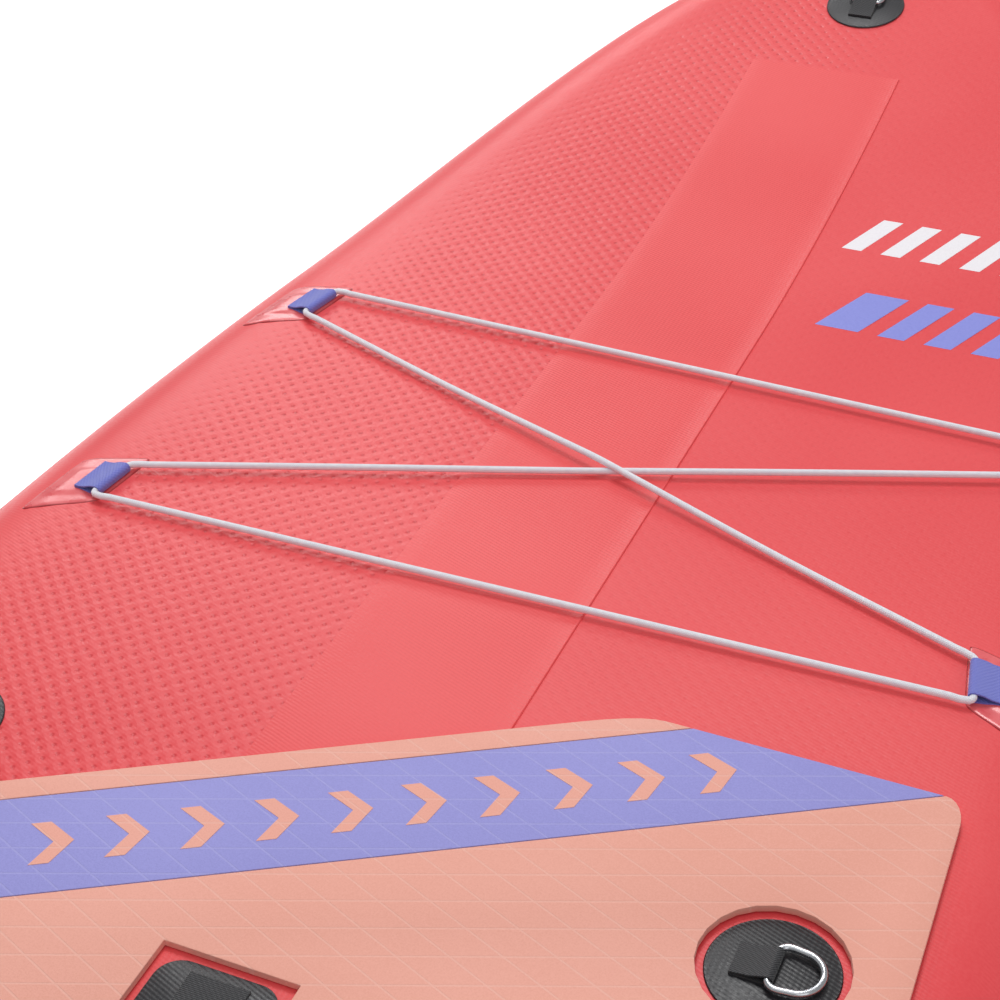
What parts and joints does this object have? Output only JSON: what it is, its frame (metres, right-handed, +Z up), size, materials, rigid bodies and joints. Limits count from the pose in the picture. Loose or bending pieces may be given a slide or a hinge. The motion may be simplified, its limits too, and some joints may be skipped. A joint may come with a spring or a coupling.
{
  "type": "inflatable stand-up paddle board",
  "caption": "Long inflatable board with half-round rails, foam deck pad, stretched bungee net, carry handle, valve and three fins.",
  "frame": {"origin": "below the middle of the board, level with the tip of the centre fin", "axes": "+X to the right rail, +Y to the nose, +Z up from the deck"},
  "size_m": [0.8644, 3.203, 0.4583],
  "materials": {
    "coral_pvc": "satin",
    "coral_tape": "satin",
    "drop_stitch": "matte",
    "lilac_webbing": "satin",
    "clear_pvc": "gloss",
    "peach_foam": "matte",
    "lilac_foam": "matte",
    "cord_sheath": "matte",
    "black_pvc": "satin",
    "black_webbing": "matte",
    "black_plastic": "satin",
    "grey_plastic": "satin",
    "steel": "polished"
  },
  "bodies": {
    "board": {"drop_stitch_core": "drop_stitch", "deck_skin": "coral_pvc", "bottom_skin": "coral_pvc", "rail_band_right": "coral_pvc", "rail_band_left": "coral_pvc", "nose_joint_tape": "coral_tape", "tail_joint_tape": "coral_tape", "deck_stringer": "coral_tape", "hull_stringer": "coral_tape", "pad_border": "peach_foam", "pad_lilac_band": "lilac_foam", "pad_main": "peach_foam", "pad_tail": "lilac_foam", "kick_bar": "peach_foam", "cord_sleeve": "steel", "bungee_cord": "cord_sheath", "handle_patch_front": "black_pvc", "handle_patch_rear": "black_pvc", "handle_strap": "black_webbing", "handle_grip": "black_webbing", "valve_flange": "grey_plastic", "valve_barrel": "grey_plastic", "valve_spring": "steel", "cap_tether": "black_plastic", "fin_box": "black_plastic", "side_fin_left": "black_plastic", "side_fin_right": "black_plastic", "patch_front_left": "clear_pvc", "loop_front_left": "lilac_webbing", "patch_rear_left": "clear_pvc", "loop_rear_left": "lilac_webbing", "patch_rear_right": "clear_pvc", "loop_rear_right": "lilac_webbing", "patch_front_right": "clear_pvc", "loop_front_right": "lilac_webbing", "ring_patch_front_left": "black_pvc", "ring_tab_front_left": "black_webbing", "ring_patch_front_right": "black_pvc", "ring_tab_front_right": "black_webbing", "ring_patch_rear_left": "black_pvc", "ring_tab_rear_left": "black_webbing", "ring_patch_rear_right": "black_pvc", "ring_tab_rear_right": "black_webbing", "ring_patch_nose": "black_pvc", "ring_tab_nose": "black_webbing", "ring_patch_tail": "black_pvc", "ring_tab_tail": "black_webbing"},
    "valve_cap": {"valve_cap": "grey_plastic"},
    "plunger": {"valve_plunger": "black_plastic"},
    "fin": {"centre_fin": "black_plastic", "fin_nut_plate": "steel"},
    "bolt": {"fin_bolt": "steel"},
    "d_ring_front_left": {"ring_front_left": "steel"},
    "d_ring_front_right": {"ring_front_right": "steel"},
    "d_ring_rear_left": {"ring_rear_left": "steel"},
    "d_ring_rear_right": {"ring_rear_right": "steel"},
    "d_ring_nose": {"ring_nose": "steel"},
    "d_ring_tail": {"ring_tail": "steel"}
  },
  "joints": [
    {"name": "cap_turn", "type": "hinge", "parent": "board", "child": "valve_cap", "pos_m": [-0.088, -1.44, 0.37], "axis": [0, 0, 1], "range_deg": [0, 90]},
    {"name": "plunger_press", "type": "slide", "parent": "board", "child": "plunger", "axis": [0, 0, -1], "range_m": [0, 0.0035], "stiffness_N_per_m": 400, "springref_m": -0.004},
    {"name": "fin_slide", "type": "slide", "parent": "board", "child": "fin", "axis": [0, 1, 0], "range_m": [-0.022, 0.012]},
    {"name": "bolt_turn", "type": "hinge", "parent": "fin", "child": "bolt", "pos_m": [0, -1.0905, 0.19], "axis": [0, 0, 1], "continuous": true},
    {"name": "ring_swing_front_left", "type": "hinge", "parent": "board", "child": "d_ring_front_left", "pos_m": [-0.274, 0.271, 0.3705], "axis": [0, 1, 0], "range_deg": [0, 165]},
    {"name": "ring_swing_front_right", "type": "hinge", "parent": "board", "child": "d_ring_front_right", "pos_m": [0.274, 0.271, 0.3705], "axis": [0, -1, 0], "range_deg": [0, 165]},
    {"name": "ring_swing_rear_left", "type": "hinge", "parent": "board", "child": "d_ring_rear_left", "pos_m": [-0.291, -0.56, 0.3705], "axis": [0, 1, 0], "range_deg": [0, 165]},
    {"name": "ring_swing_rear_right", "type": "hinge", "parent": "board", "child": "d_ring_rear_right", "pos_m": [0.291, -0.56, 0.3705], "axis": [0, -1, 0], "range_deg": [0, 165]},
    {"name": "ring_swing_nose", "type": "hinge", "parent": "board", "child": "d_ring_nose", "pos_m": [0, 1.43876, 0.4401], "axis": [1, 0, 0], "range_deg": [0, 165]},
    {"name": "ring_swing_tail", "type": "hinge", "parent": "board", "child": "d_ring_tail", "pos_m": [0.012, -1.44, 0.3705], "axis": [-1, 0, 0], "range_deg": [0, 165]}
  ]
}
